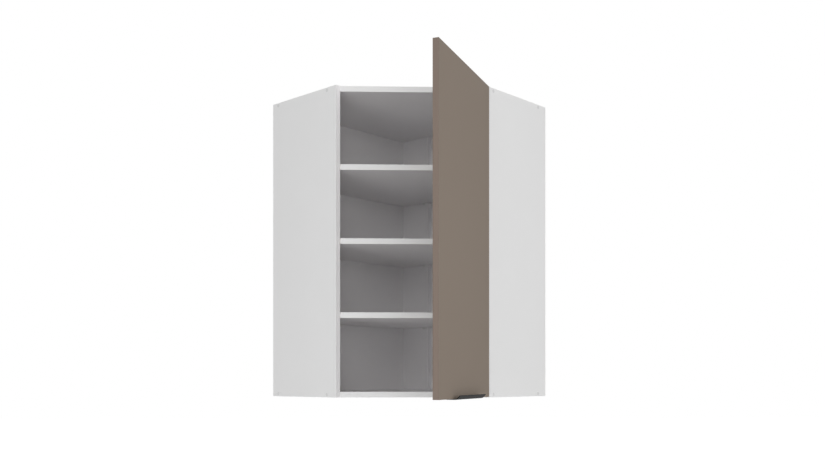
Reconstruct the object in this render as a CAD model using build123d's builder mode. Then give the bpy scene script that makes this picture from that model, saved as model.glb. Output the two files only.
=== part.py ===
from build123d import *
import math
import os

# Corner wall cabinet with a door across the diagonal.  Millimetres, +Z up.
# Origin: the room corner, at the level of the cabinet's underside.
# +X runs to the right, +Y into the room corner.

os.makedirs("parts", exist_ok=True)

# ---------------------------------------------------------------- driving sizes
LEG = 598.0                 # wall length taken by the cabinet, from the room corner
DEPTH = 288.0               # depth of the end panels
HEIGHT = 900.0
BOARD = 16.0                # carcass board
BAND = 0.8                  # edge band
BACK = 3.0                  # back panel
BACK_SETBACK = 18.0         # wall to the rear of the back panel
GROOVE_DEPTH = 8.0
GROOVE_PLAY = 0.1           # each side of a back panel in its groove
EDGE_PLAY = 0.4             # a back panel's edge to the bottom of its groove
SEAT = 0.05                 # radial play of a fastener in its hole

CORNER_BOARD_WIDTH = 115.0
SHELF_HEIGHTS = (230.0, 444.0, 658.0)
SHELF_PLAY = 0.75           # shelf to the boards round it

PIN_R = 2.5                 # shelf pins
PIN_GRIP = 10.0             # depth of a pin in its board
PIN_REACH = 8.0             # length of a pin under its shelf
PIN_HEAD_R = 4.0
PIN_HEAD = 1.2
PIN_FROM_FRONT = 45.0
PIN_FROM_BACK = 70.0

SCREW_NEAR = 25.5           # joining screws, from one long edge of an end panel
SCREW_FAR = 38.5            # and from the other
SCREW_LENGTH = 50.0
SCREW_SHANK_R = 2.5
SCREW_TIP_R = 1.75
SCREW_SHANK = 14.0
SCREW_HEAD_R = 3.75
SCREW_HEAD = 2.2
SCREW_RECESS = 0.6          # head below the board's face
CAP_R = 5.0
CAP_HEIGHT = 0.8
CAP_CHAMFER = 0.4
CAP_PEG_R = 1.4
CAP_PEG = 2.4
SOCKET_R = 1.7
SOCKET_DEPTH = 3.2

DOOR_WIDTH = 417.0
DOOR_BOARD = 16.0
DOOR_LAP = 0.61             # closed door's hinge end beyond the end panel's inner front corner
DOOR_REVEAL = 2.0           # door short of the carcass, above and below
DOOR_STANDOFF = 3.0         # closed door's inner face to the carcass front
OPENING = 66.0              # rest pose, degrees from closed
OPENING_LIMIT = 95.0

HINGE_FROM_END = 100.0      # middle of a hinge, from the cabinet's underside or top
LINK_SHARE = 0.263          # part of the door's turn that the neck link makes
PIVOT_BACK = 32.5           # neck link's wall pivot, behind the end panel's front edge
PIVOT_OFF = 4.3             # and off the end panel's inner face
CUP_PIN_IN = 7.9            # neck link's cup pin, from the door's hinge end
CUP_PIN_DEEP = 9.4          # and below the door's inner face
GUIDE_PIVOT_BACK = 50.0
GUIDE_PIVOT_OFF = 4.5
GUIDE_PIN_IN = 14.5
GUIDE_PIN_DEEP = 9.0
GUIDE_SLOT = 0.95           # travel of the guide pin each way in its slot
GUIDE_SLOT_PLAY = 0.4
GUIDE_STEPS = 20            # door positions at which the guide link's reach is taken
GUIDE_EYE = 0.7             # metal round that slot
LINK_HALF = 2.1             # half width of a link
LINK_PIN_R = 1.0
LINK_PIN_PLAY = 0.06
NECK = ((29.0, -18.6), (51.9, -10.9))
NECK_BENDS = (7.0, 3.0)
GUIDE_NECK = ((18.4, -15.1), (46.3, -22.6), (73.6, -11.2))
GUIDE_BENDS = (6.0, 8.0, 3.0)
NECK_THICK = 4.8            # along Z, at the middle of the hinge
CHEEK_GAP = 0.5             # neck link to each guide cheek
CHEEK = 1.5                 # guide link's cheek
WALL_GAP = 0.5              # cheek to the wall beside it
WALL = 1.2                  # arm walls and cup ears

CUP_R = 17.5
CUP_RIM_IN = 3.0            # door's hinge end to the cup
CUP_DEPTH = 13.0
CUP_SHEET = 0.6
CUP_HOLE_PLAY = 0.1
FLANGE_R = 20.0
FLANGE = 1.0
FLANGE_CUT = 4.5            # door's hinge end to the flange
FLANGE_SCREW_SPAN = 48.0
FLANGE_SCREW_IN = 6.0       # screws beyond the cup's centre
FLANGE_PAD_R = 5.5
WOOD_SCREW_R = 1.75
WOOD_SCREW_LENGTH = 13.0
WOOD_HEAD_R = 3.4
WOOD_HEAD = 1.6
WOOD_CROSS = (3.5, 0.6)     # cross recess: long, wide

PLATE = 1.6                 # mounting plate
PLATE_FRONT = 27.0
PLATE_BACK = 66.0
PLATE_HALF = 9.0
PLATE_SCREW_BACK = 37.0
PLATE_SCREW_SPAN = 32.0
PLATE_WING_R = 6.0
ARM_FRONT = 29.0
ARM_BACK = 65.0
ARM_BRIDGE = 55.5           # the arm's floor starts here
ARM_FLOOR = 1.4
ARM_TALL = 8.4
ADJUSTER_R = 2.6
ADJUSTER_CROSS = (3.6, 0.7)
ADJUSTER_BACK = 60.0

PULL_LENGTH = 218.0
PULL_START = 96.0           # from the door's hinge end
PULL_SHEET = 1.8
PULL_FLANGE = 26.0
PULL_WEB = 27.0             # door's inner face to the start of the lip
PULL_LIP_OUT = 35.5
PULL_LIP_TOP = 10.8
PULL_SCREW_SPAN = 160.0
PULL_SCREW_UP = 18.0

BUFFER_R = 5.0
BUFFER_PLAY = 0.3
BUFFER_FROM_END = 22.0

HANGER_HOUSING = (42.0, 17.0, 58.0)     # along the panel, off it, tall
HANGER_PLAY = 0.4
HANGER_TOP = 4.0            # top panel to the housing
HANGER_ARM = (12.0, 3.0)    # wide, thick
HANGER_ARM_DROP = 14.0      # top panel to the arm's top
HANGER_TIP = 9.0
HANGER_SCREW_R = 4.0
HANGER_SCREW_GRIP = 12.0
HANGER_SCREW_SPAN = 24.0
HANGER_CROSS = (5.6, 1.0)
HANGER_CROSS_DEEP = 2.0
HANGER_TIP_OFF = 0.8        # wall to a hook's tip
SLOT_PLAY = 3.0
WALL_PLATE = (60.0, 2.5, 46.0)          # along the wall, thick, tall
WALL_PLATE_LIP = 12.0
WALL_PLATE_STEP = 4.2       # wall to the lip's rear
WALL_HOLE_R = 3.25
WALL_HOLE_SPAN = 32.0
WALL_PLATE_IN = 6.0         # end panel to the wall plate

# ---------------------------------------------------------------- derived sizes
SPAN = LEG - BOARD                      # room corner to an end panel's inner face
BACK_REAR = BACK_SETBACK + GROOVE_PLAY
BACK_FRONT = BACK_REAR + BACK
GROOVE_WIDTH = BACK + 2 * GROOVE_PLAY
CORE_DEPTH = DEPTH - BAND
FRONT_Y = -(SPAN + DEPTH) / math.sqrt(2)
FRONT_HALF = (SPAN - DEPTH) / math.sqrt(2)
DOOR_HEIGHT = HEIGHT - 2 * DOOR_REVEAL
INNER_TOP = HEIGHT - BOARD
HINGE_HEIGHTS = (HINGE_FROM_END, HEIGHT - HINGE_FROM_END)
CUP_CENTRE_IN = CUP_RIM_IN + CUP_R
CHEEK_INNER = NECK_THICK / 2 + CHEEK_GAP
PULL_MIDDLE = PULL_START + PULL_LENGTH / 2
WALL_INNER = CHEEK_INNER + CHEEK + WALL_GAP
WALL_OUTER = WALL_INNER + WALL

# ---------------------------------------------------------------- planes
# On both of the first two planes x is the distance from the room corner along the
# right wall and -y the distance along the left wall, or on SIDE x runs back along
# the right end panel from its front edge and y off its inner face.
UP = (0, 0, 1)
WALLS = Plane(origin=(0, 0, 0), x_dir=(1, -1, 0), z_dir=UP)
SIDE = Plane(origin=WALLS.from_local_coords((SPAN, -DEPTH, 0)), x_dir=(1, 1, 0), z_dir=UP)

# On a door plane x runs from the hinge end to the free end and y from the inner
# face to the outer face.
CLOSED = Plane(origin=(FRONT_HALF + DOOR_LAP, FRONT_Y - DOOR_STANDOFF, 0), x_dir=(-1, 0, 0),
               z_dir=UP)

PIVOT = SIDE.from_local_coords(Vector(PIVOT_BACK, PIVOT_OFF, 0))
GUIDE_PIVOT = SIDE.from_local_coords(Vector(GUIDE_PIVOT_BACK, GUIDE_PIVOT_OFF, 0))
CLOSED_PIN = CLOSED.from_local_coords(Vector(CUP_PIN_IN, CUP_PIN_DEEP, 0))


def cup_pin(opening):
    """Where the neck link holds the door at an opening angle."""
    return PIVOT + (CLOSED_PIN - PIVOT).rotate(Axis.Z, LINK_SHARE * opening)


def door_plane(opening):
    """The door's own plane at an opening angle."""
    origin = cup_pin(opening) + (CLOSED.origin - CLOSED_PIN).rotate(Axis.Z, opening)
    return Plane(origin=origin, x_dir=CLOSED.x_dir.rotate(Axis.Z, opening), z_dir=UP)


def guide_reach(opening):
    """From the guide link's pivot to its cup pin at an opening angle."""
    pin = door_plane(opening).from_local_coords(Vector(GUIDE_PIN_IN, GUIDE_PIN_DEEP, 0))
    return pin - GUIDE_PIVOT


DOOR = door_plane(OPENING)
NECK_LENGTH = (CLOSED_PIN - PIVOT).length
NECK_DIRECTION = (cup_pin(OPENING) - PIVOT).normalized()
REACHES = [guide_reach(OPENING_LIMIT * step / GUIDE_STEPS).length for step in range(GUIDE_STEPS + 1)]
GUIDE_LENGTH = (min(REACHES) + max(REACHES)) / 2
GUIDE_DIRECTION = guide_reach(OPENING).normalized()


def write(part, name):
    """Label a finished piece and write it."""
    part.part.label = name
    export_step(part.part, f"parts/{name}.step")


def wall_points(*pairs):
    """Points given as distances along the right and the left wall."""
    return [(p, -q) for p, q in pairs]


def cross(long, wide, mode=Mode.ADD):
    """A cross recess in the sketch that is open."""
    Rectangle(long, wide, mode=mode)
    Rectangle(wide, long, mode=mode)


# ---------------------------------------------------------------- end panels
SCREW_ROWS = {"right": (SCREW_FAR, DEPTH - SCREW_NEAR), "left": (SCREW_NEAR, DEPTH - SCREW_FAR)}
PIN_ROWS = (PIN_FROM_FRONT, DEPTH - PIN_FROM_BACK)


def end_face(side):
    """The outer face of an end panel: x level from the wall line, y up, z outwards."""
    if side == "right":
        return Plane(origin=WALLS.from_local_coords((LEG, 0, 0)), x_dir=(1, 1, 0), z_dir=(1, -1, 0))
    return Plane(origin=WALLS.from_local_coords((0, -LEG, 0)), x_dir=(1, -1, 0), z_dir=(-1, -1, 0))


def forwards(side):
    """Which way along that face's x the cabinet's front lies."""
    return -1 if side == "right" else 1


def screw_points(side):
    """Joining screws on an end panel's outer face, from the wall and from below."""
    return [(forwards(side) * q, z) for q in SCREW_ROWS[side] for z in (BOARD / 2, HEIGHT - BOARD / 2)]


def end_panel(side):
    """A board square to its wall, grooved for the back panel and drilled."""
    face = end_face(side)
    inner = face.offset(-BOARD)
    way = forwards(side)
    with BuildPart() as panel:
        with BuildSketch(inner):
            with Locations((way * CORE_DEPTH / 2, HEIGHT / 2)):
                Rectangle(CORE_DEPTH, HEIGHT)
        extrude(amount=BOARD)
        with BuildSketch(inner):
            with Locations((way * (BACK_SETBACK + GROOVE_WIDTH / 2), HEIGHT / 2)):
                Rectangle(GROOVE_WIDTH, HEIGHT - 2 * (BOARD - GROOVE_DEPTH))
        extrude(amount=GROOVE_DEPTH, mode=Mode.SUBTRACT)
        with Locations(face):
            with Locations(*screw_points(side)):
                Hole(SCREW_SHANK_R + SEAT)
                CounterBoreHole(SCREW_SHANK_R + SEAT, SCREW_HEAD_R + SEAT,
                                SCREW_RECESS + SCREW_HEAD, BOARD)
        with BuildSketch(inner):
            rows = [(way * (DEPTH - row), z - PIN_R) for row in PIN_ROWS for z in SHELF_HEIGHTS]
            with Locations(*rows):
                Circle(PIN_R + SEAT)
        extrude(amount=PIN_GRIP + SEAT, mode=Mode.SUBTRACT)
        if side == "right":
            with BuildSketch(inner):
                with Locations(*[(way * (DEPTH - PLATE_SCREW_BACK), z) for z in HINGE_HEIGHTS]):
                    with GridLocations(0, PLATE_SCREW_SPAN, 1, 2):
                        Circle(WOOD_SCREW_R + SEAT)
            extrude(amount=WOOD_SCREW_LENGTH - PLATE + SEAT, mode=Mode.SUBTRACT)
    return panel


right_end_panel = end_panel("right")
write(right_end_panel, "right_end_panel")
left_end_panel = end_panel("left")
write(left_end_panel, "left_end_panel")

# ---------------------------------------------------------------- top and bottom
FRONT_TRIM = BAND * math.sqrt(2)        # an edge band's share of both wall distances
CORE_OUTLINE = wall_points((0, 0), (SPAN, 0), (SPAN, DEPTH - FRONT_TRIM),
                           (DEPTH - FRONT_TRIM, SPAN), (0, SPAN))
BOARD_SCREW_P = BACK_FRONT + CORNER_BOARD_WIDTH / 2
BOARD_SCREW_SPAN = CORNER_BOARD_WIDTH / 2
BOARD_SCREW_Q = BACK_FRONT + BOARD / 2


def corner_screw_points():
    """Screws through the top and bottom panels into the corner board."""
    return wall_points(*[(BOARD_SCREW_P + way * BOARD_SCREW_SPAN / 2, BOARD_SCREW_Q)
                         for way in (-1, 1)])


def level_panel(base, groove_base, outer, outwards):
    """Top or bottom panel, grooved along both walls and drilled for its screws."""
    with BuildPart() as panel:
        with BuildSketch(WALLS.offset(base)):
            Polygon(*CORE_OUTLINE, align=None)
        extrude(amount=BOARD)
        with BuildSketch(WALLS.offset(groove_base)):
            middle = (BACK_SETBACK + SPAN) / 2
            for p, q, wide, deep in ((middle, BACK_SETBACK + GROOVE_WIDTH / 2, 1, 0),
                                     (BACK_SETBACK + GROOVE_WIDTH / 2, middle, 0, 1)):
                with Locations((p, -q)):
                    run = SPAN - BACK_SETBACK
                    Rectangle(run if wide else GROOVE_WIDTH, run if deep else GROOVE_WIDTH)
        extrude(amount=GROOVE_DEPTH, mode=Mode.SUBTRACT)
        for side in ("right", "left"):
            with BuildSketch(end_face(side).offset(-BOARD)):
                with Locations(*[(x, z) for x, z in screw_points(side) if base < z < base + BOARD]):
                    Circle(SCREW_TIP_R + SEAT)
            extrude(amount=-(SCREW_LENGTH + SCREW_RECESS - BOARD + SEAT), mode=Mode.SUBTRACT)
        outer_face = Plane(origin=(0, 0, outer), x_dir=(1, -1, 0), z_dir=(0, 0, outwards))
        with Locations(outer_face):
            with Locations(*[(p, outwards * y) for p, y in corner_screw_points()]):
                CounterBoreHole(SCREW_SHANK_R + SEAT, SCREW_HEAD_R + SEAT,
                                SCREW_RECESS + SCREW_HEAD, BOARD)
    return panel


bottom_panel = level_panel(0, BOARD - GROOVE_DEPTH, 0, -1)
write(bottom_panel, "bottom_panel")
top_panel = level_panel(INNER_TOP, INNER_TOP, HEIGHT, 1)
write(top_panel, "top_panel")

# ---------------------------------------------------------------- back panels
BACK_END = SPAN + GROOVE_DEPTH - EDGE_PLAY
BACK_LOW = BOARD - GROOVE_DEPTH + EDGE_PLAY
BACK_TALL = HEIGHT - 2 * BACK_LOW
HANGER_WINDOW = HANGER_ARM[0] + 2 * SLOT_PLAY
HANGER_ARM_P = SPAN - HANGER_HOUSING[1] / 2
HANGER_ARM_TOP = INNER_TOP - HANGER_ARM_DROP
WINDOW_TALL = HANGER_ARM[1] + 2 * SLOT_PLAY


def back_panel(side):
    """Thin panel in its grooves, with the opening a hanger's arm reaches through."""
    if side == "right":
        start, across = BACK_FRONT + GROOVE_PLAY, 1
    else:
        start, across = BACK_REAR, 0
    long = BACK_END - start
    middle = (start + BACK_END) / 2
    level = BACK_REAR + BACK / 2
    with BuildPart() as panel:
        with BuildSketch(WALLS.offset(BACK_LOW)):
            with Locations((middle, -level) if across else (level, -middle)):
                Rectangle(long if across else BACK, BACK if across else long)
        extrude(amount=BACK_TALL)
        with BuildSketch(WALLS.offset(HANGER_ARM_TOP + SLOT_PLAY - WINDOW_TALL)):
            with Locations((HANGER_ARM_P, -level) if across else (level, -HANGER_ARM_P)):
                Rectangle(HANGER_WINDOW, HANGER_WINDOW)
        extrude(amount=WINDOW_TALL, mode=Mode.SUBTRACT)
    return panel


back_panel_right = back_panel("right")
write(back_panel_right, "back_panel_right")
back_panel_left = back_panel("left")
write(back_panel_left, "back_panel_left")

# ---------------------------------------------------------------- corner board
CORNER_BOARD_END = BACK_FRONT + CORNER_BOARD_WIDTH
CORNER_BOARD_FRONT = BACK_FRONT + BOARD
CORNER_PIN_P = CORNER_BOARD_END - BOARD

with BuildPart() as corner_board:
    with BuildSketch(WALLS.offset(BOARD)):
        with Locations((BOARD_SCREW_P - BAND / 2, -BOARD_SCREW_Q)):
            Rectangle(CORNER_BOARD_WIDTH - BAND, BOARD)
    extrude(amount=INNER_TOP - BOARD)
    for end, way in ((BOARD, 1), (INNER_TOP, -1)):
        with BuildSketch(WALLS.offset(end)):
            with Locations(*corner_screw_points()):
                Circle(SCREW_TIP_R + SEAT)
        extrude(amount=way * (SCREW_LENGTH + SCREW_RECESS - BOARD + SEAT), mode=Mode.SUBTRACT)
    board_face = Plane(origin=WALLS.from_local_coords((0, -CORNER_BOARD_FRONT, 0)),
                       x_dir=(1, -1, 0), z_dir=(-1, -1, 0))
    with BuildSketch(board_face):
        with Locations(*[(CORNER_PIN_P, z - PIN_R) for z in SHELF_HEIGHTS]):
            Circle(PIN_R + SEAT)
    extrude(amount=-(PIN_GRIP + SEAT), mode=Mode.SUBTRACT)
write(corner_board, "corner_board")

# ---------------------------------------------------------------- shelves
SHELF_BACK = BACK_FRONT + SHELF_PLAY
SHELF_SIDE = SPAN - SHELF_PLAY
SHELF_NOTCH_P = CORNER_BOARD_END + SHELF_PLAY
SHELF_NOTCH_Q = CORNER_BOARD_FRONT + SHELF_PLAY
SHELF_FRONT = SPAN + DEPTH - SHELF_SIDE     # wall distance of a front corner's other side
SHELF_OUTLINE = wall_points(
    (SHELF_BACK, SHELF_NOTCH_Q), (SHELF_NOTCH_P, SHELF_NOTCH_Q), (SHELF_NOTCH_P, SHELF_BACK),
    (SHELF_SIDE, SHELF_BACK), (SHELF_SIDE, SHELF_FRONT - FRONT_TRIM),
    (SHELF_FRONT - FRONT_TRIM, SHELF_SIDE), (SHELF_BACK, SHELF_SIDE))

for name, height in zip(("lower", "middle", "upper"), SHELF_HEIGHTS):
    with BuildPart() as shelf:
        with BuildSketch(WALLS.offset(height)):
            Polygon(*SHELF_OUTLINE, align=None)
        extrude(amount=BOARD)
    write(shelf, f"{name}_shelf")

# ---------------------------------------------------------------- edge bands
def front_width(side):
    """Width of a board's front edge between side faces at a wall distance."""
    return (2 * side - SPAN - DEPTH) * math.sqrt(2)


with BuildPart() as upright_edge_bands:
    for side in ("right", "left"):
        with BuildSketch(end_face(side).offset(-BOARD)):
            with Locations((forwards(side) * (DEPTH - BAND / 2), HEIGHT / 2)):
                Rectangle(BAND, HEIGHT)
        extrude(amount=BOARD)
    with BuildSketch(WALLS.offset(BOARD)):
        with Locations((CORNER_BOARD_END - BAND / 2, -BOARD_SCREW_Q)):
            Rectangle(BAND, BOARD)
    extrude(amount=INNER_TOP - BOARD)
write(upright_edge_bands, "upright_edge_bands")

with BuildPart() as level_edge_bands:
    levels = [(0, SPAN), (INNER_TOP, SPAN)] + [(z, SHELF_SIDE) for z in SHELF_HEIGHTS]
    for z, side in levels:
        half = front_width(side) / 2
        with BuildSketch(Plane.XY.offset(z)):
            Polygon((-half, FRONT_Y), (half, FRONT_Y), (half + BAND, FRONT_Y + BAND),
                    (-half - BAND, FRONT_Y + BAND), align=None)
        extrude(amount=BOARD)
write(level_edge_bands, "level_edge_bands")

# ---------------------------------------------------------------- joining screws
HEAD_TAPER = SCREW_HEAD_R - SCREW_SHANK_R

# Countersunk, pointing down from the board's face at z = 0.
with BuildPart() as single_screw:
    with BuildSketch(Plane.XZ):
        Polygon((0, -SCREW_RECESS), (SCREW_HEAD_R, -SCREW_RECESS),
                (SCREW_HEAD_R, -SCREW_RECESS - SCREW_HEAD + HEAD_TAPER),
                (SCREW_SHANK_R, -SCREW_RECESS - SCREW_HEAD),
                (SCREW_SHANK_R, -SCREW_SHANK), (SCREW_TIP_R, -BOARD),
                (SCREW_TIP_R, -SCREW_RECESS - SCREW_LENGTH + SCREW_TIP_R),
                (0, -SCREW_RECESS - SCREW_LENGTH), align=None)
    revolve(axis=Axis.Z)
    with BuildSketch(Plane.XY.offset(-SCREW_RECESS)):
        RegularPolygon(SOCKET_R, 6)
    extrude(amount=-SOCKET_DEPTH, mode=Mode.SUBTRACT)

with BuildPart() as single_cap:
    with BuildSketch(Plane.XZ):
        Polygon((0, -SCREW_RECESS - CAP_PEG), (CAP_PEG_R, -SCREW_RECESS - CAP_PEG), (CAP_PEG_R, 0),
                (CAP_R, 0), (CAP_R, CAP_HEIGHT - CAP_CHAMFER),
                (CAP_R - CAP_CHAMFER, CAP_HEIGHT), (0, CAP_HEIGHT), align=None)
    revolve(axis=Axis.Z)


def end_screw_places(side):
    """A location, pointing outwards, at each joining screw of an end panel."""
    return [end_face(side).location * Location((x, z, 0)) for x, z in screw_points(side)]


def level_screw_places():
    """The same for the screws through the top and bottom panels."""
    places = []
    for outer, outwards in ((HEIGHT, 1), (0, -1)):
        face = Plane(origin=(0, 0, outer), x_dir=(1, -1, 0), z_dir=(0, 0, outwards))
        places += [face.location * Location((p, outwards * y, 0)) for p, y in corner_screw_points()]
    return places


END_SCREW_PLACES = end_screw_places("right") + end_screw_places("left")

with BuildPart() as joining_screws:
    with Locations(*END_SCREW_PLACES, *level_screw_places()):
        add(single_screw.part)
write(joining_screws, "joining_screws")

with BuildPart() as screw_caps:
    with Locations(*END_SCREW_PLACES):
        add(single_cap.part)
write(screw_caps, "screw_caps")

# ---------------------------------------------------------------- shelf pins
with BuildPart() as single_pin:
    with BuildSketch(Plane.XY.offset(-PIN_GRIP)):
        Circle(PIN_R)
    extrude(amount=PIN_GRIP + PIN_REACH)
    with BuildSketch(Plane.XY):
        Circle(PIN_HEAD_R)
        with Locations((0, PIN_R + PIN_HEAD_R)):
            Rectangle(2 * PIN_HEAD_R, 2 * PIN_HEAD_R, mode=Mode.SUBTRACT)
    extrude(amount=SHELF_PLAY - SEAT)


def pin_places():
    """A location at each shelf pin, pointing out of its board."""
    places = []
    for side in ("right", "left"):
        inner = end_face(side).offset(-BOARD)
        face = Plane(origin=inner.origin, x_dir=-inner.x_dir, z_dir=-inner.z_dir)
        places += [face.location * Location((-forwards(side) * (DEPTH - row), z - PIN_R, 0))
                   for row in PIN_ROWS for z in SHELF_HEIGHTS]
    places += [board_face.location * Location((CORNER_PIN_P, z - PIN_R, 0)) for z in SHELF_HEIGHTS]
    return places


with BuildPart() as shelf_pins:
    with Locations(*pin_places()):
        add(single_pin.part)
write(shelf_pins, "shelf_pins")

# ---------------------------------------------------------------- door
with BuildPart() as door_panel:
    with BuildSketch(DOOR.offset(DOOR_REVEAL + BAND)):
        with Locations((DOOR_WIDTH / 2, DOOR_BOARD / 2)):
            Rectangle(DOOR_WIDTH - 2 * BAND, DOOR_BOARD)
    extrude(amount=DOOR_HEIGHT - 2 * BAND)
    inner_face = Plane(origin=DOOR.origin, x_dir=DOOR.x_dir, z_dir=-DOOR.y_dir)
    cups = [(CUP_CENTRE_IN, z) for z in HINGE_HEIGHTS]
    with BuildSketch(inner_face):
        with Locations(*cups):
            Circle(CUP_R + CUP_HOLE_PLAY)
    extrude(amount=-(CUP_DEPTH + CUP_HOLE_PLAY), mode=Mode.SUBTRACT)
    with BuildSketch(inner_face):
        with Locations(*[(x + FLANGE_SCREW_IN, z) for x, z in cups]):
            with GridLocations(0, FLANGE_SCREW_SPAN, 1, 2):
                Circle(WOOD_SCREW_R + SEAT)
        with Locations((PULL_MIDDLE, DOOR_REVEAL + PULL_SCREW_UP)):
            with GridLocations(PULL_SCREW_SPAN, 0, 2, 1):
                Circle(WOOD_SCREW_R + SEAT)
    extrude(amount=-(WOOD_SCREW_LENGTH - FLANGE + SEAT), mode=Mode.SUBTRACT)
write(door_panel, "door_panel")

with BuildPart() as door_side_bands:
    with BuildSketch(DOOR.offset(DOOR_REVEAL)):
        with Locations((BAND / 2, DOOR_BOARD / 2), (DOOR_WIDTH - BAND / 2, DOOR_BOARD / 2)):
            Rectangle(BAND, DOOR_BOARD)
    extrude(amount=DOOR_HEIGHT)
write(door_side_bands, "door_side_bands")

with BuildPart() as door_end_bands:
    for z in (DOOR_REVEAL, DOOR_REVEAL + DOOR_HEIGHT - BAND):
        with BuildSketch(DOOR.offset(z)):
            with Locations((DOOR_WIDTH / 2, DOOR_BOARD / 2)):
                Rectangle(DOOR_WIDTH - 2 * BAND, DOOR_BOARD)
        extrude(amount=BAND)
write(door_end_bands, "door_end_bands")

# ---------------------------------------------------------------- edge pull
# Its section lies across the door: x from the inner face outwards, y up.
PULL_SECTION = Plane(origin=DOOR.from_local_coords(Vector(PULL_START, 0, DOOR_REVEAL)),
                     x_dir=DOOR.y_dir, z_dir=DOOR.x_dir)
PULL_LIP = PULL_LIP_TOP - DOOR_REVEAL

with BuildPart() as edge_pull:
    with BuildSketch(PULL_SECTION):
        with BuildLine():
            spine = FilletPolyline((-PULL_SHEET / 2, PULL_FLANGE), (-PULL_SHEET / 2, -PULL_SHEET / 2),
                                   (PULL_WEB, -PULL_SHEET / 2), (PULL_LIP_OUT, PULL_LIP),
                                   radius=(PULL_SHEET / 2, PULL_LIP))
            offset(amount=PULL_SHEET / 2, side=Side.BOTH)
        make_face()
    extrude(amount=PULL_LENGTH)
    with BuildSketch(inner_face):
        with Locations((PULL_MIDDLE, DOOR_REVEAL + PULL_SCREW_UP)):
            with GridLocations(PULL_SCREW_SPAN, 0, 2, 1):
                Circle(WOOD_SCREW_R + SEAT)
    extrude(amount=PULL_SHEET, mode=Mode.SUBTRACT)
write(edge_pull, "edge_pull")

with BuildPart() as single_wood_screw:
    with BuildSketch(Plane.XZ):
        Polygon((0, WOOD_HEAD), (WOOD_HEAD_R / 2, WOOD_HEAD), (WOOD_HEAD_R, WOOD_HEAD / 3),
                (WOOD_HEAD_R, 0), (WOOD_SCREW_R, 0), (WOOD_SCREW_R, WOOD_SCREW_R - WOOD_SCREW_LENGTH),
                (0, -WOOD_SCREW_LENGTH), align=None)
    revolve(axis=Axis.Z)
    with BuildSketch(Plane.XY.offset(WOOD_HEAD)):
        cross(*WOOD_CROSS)
    extrude(amount=-WOOD_HEAD / 2, mode=Mode.SUBTRACT)

with BuildPart() as pull_screws:
    with Locations(inner_face.offset(PULL_SHEET)):
        with Locations((PULL_MIDDLE, DOOR_REVEAL + PULL_SCREW_UP)):
            with GridLocations(PULL_SCREW_SPAN, 0, 2, 1):
                add(single_wood_screw.part)
write(pull_screws, "pull_screws")

# ---------------------------------------------------------------- door buffers
BUFFER_X = DOOR_WIDTH - BUFFER_FROM_END
BUFFER_ZS = (BOARD / 2, HEIGHT - BOARD / 2)

with BuildPart() as door_buffers:
    with BuildSketch(inner_face):
        with Locations(*[(BUFFER_X, z) for z in BUFFER_ZS]):
            Circle(BUFFER_R)
    extrude(amount=DOOR_STANDOFF - BUFFER_PLAY)
    fillet(door_buffers.faces().filter_by(inner_face).sort_by(Axis(DOOR.origin, -DOOR.y_dir))[-2:].edges(),
           radius=(DOOR_STANDOFF - BUFFER_PLAY) / 3)
write(door_buffers, "door_buffers")


# ---------------------------------------------------------------- hinges
def link_plane(pivot, direction, height):
    """A link's plane: x from its pivot on the arm towards its cup pin."""
    return Plane(origin=(pivot.X, pivot.Y, height), x_dir=direction, z_dir=UP)


def link_middle(points, bends):
    """A link's bent middle line."""
    with BuildLine() as middle:
        FilletPolyline(*points, radius=bends)
    return middle.line


def link_outline(points, bends):
    """A link's flat shape, a band of even width along its middle line."""
    trace(link_middle(points, bends), 2 * LINK_HALF)
    with Locations(points[0], points[-1]):
        Circle(LINK_HALF)


def neck_link(height):
    plane = link_plane(PIVOT, NECK_DIRECTION, height - NECK_THICK / 2)
    ends = ((0, 0), (NECK_LENGTH, 0))
    with BuildPart() as link:
        with BuildSketch(plane):
            link_outline((ends[0], *NECK, ends[1]), NECK_BENDS)
            with Locations(*ends):
                Circle(LINK_PIN_R + LINK_PIN_PLAY, mode=Mode.SUBTRACT)
        extrude(amount=NECK_THICK)
    return link


def guide_link(height):
    """Two cheeks joined by a bridge behind the pivot's bend."""
    ends = ((0, 0), (GUIDE_LENGTH, 0))
    slot_half = LINK_PIN_R + GUIDE_SLOT_PLAY
    with BuildPart() as link:
        for low in (CHEEK_INNER, -CHEEK_INNER - CHEEK):
            with BuildSketch(link_plane(GUIDE_PIVOT, GUIDE_DIRECTION, height + low)):
                link_outline((ends[0], *GUIDE_NECK, ends[1]), GUIDE_BENDS)
                with Locations(ends[1]):
                    eye_half = slot_half + GUIDE_EYE
                    SlotOverall(2 * (GUIDE_SLOT + eye_half), 2 * eye_half)
                    SlotOverall(2 * (GUIDE_SLOT + slot_half), 2 * slot_half, mode=Mode.SUBTRACT)
                with Locations(ends[0]):
                    Circle(LINK_PIN_R + LINK_PIN_PLAY, mode=Mode.SUBTRACT)
            extrude(amount=CHEEK)
        with BuildSketch(link_plane(GUIDE_PIVOT, GUIDE_DIRECTION, height - CHEEK_INNER)):
            with Locations(GUIDE_NECK[0]):
                Circle(LINK_HALF)
        extrude(amount=2 * CHEEK_INNER)
    return link


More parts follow.
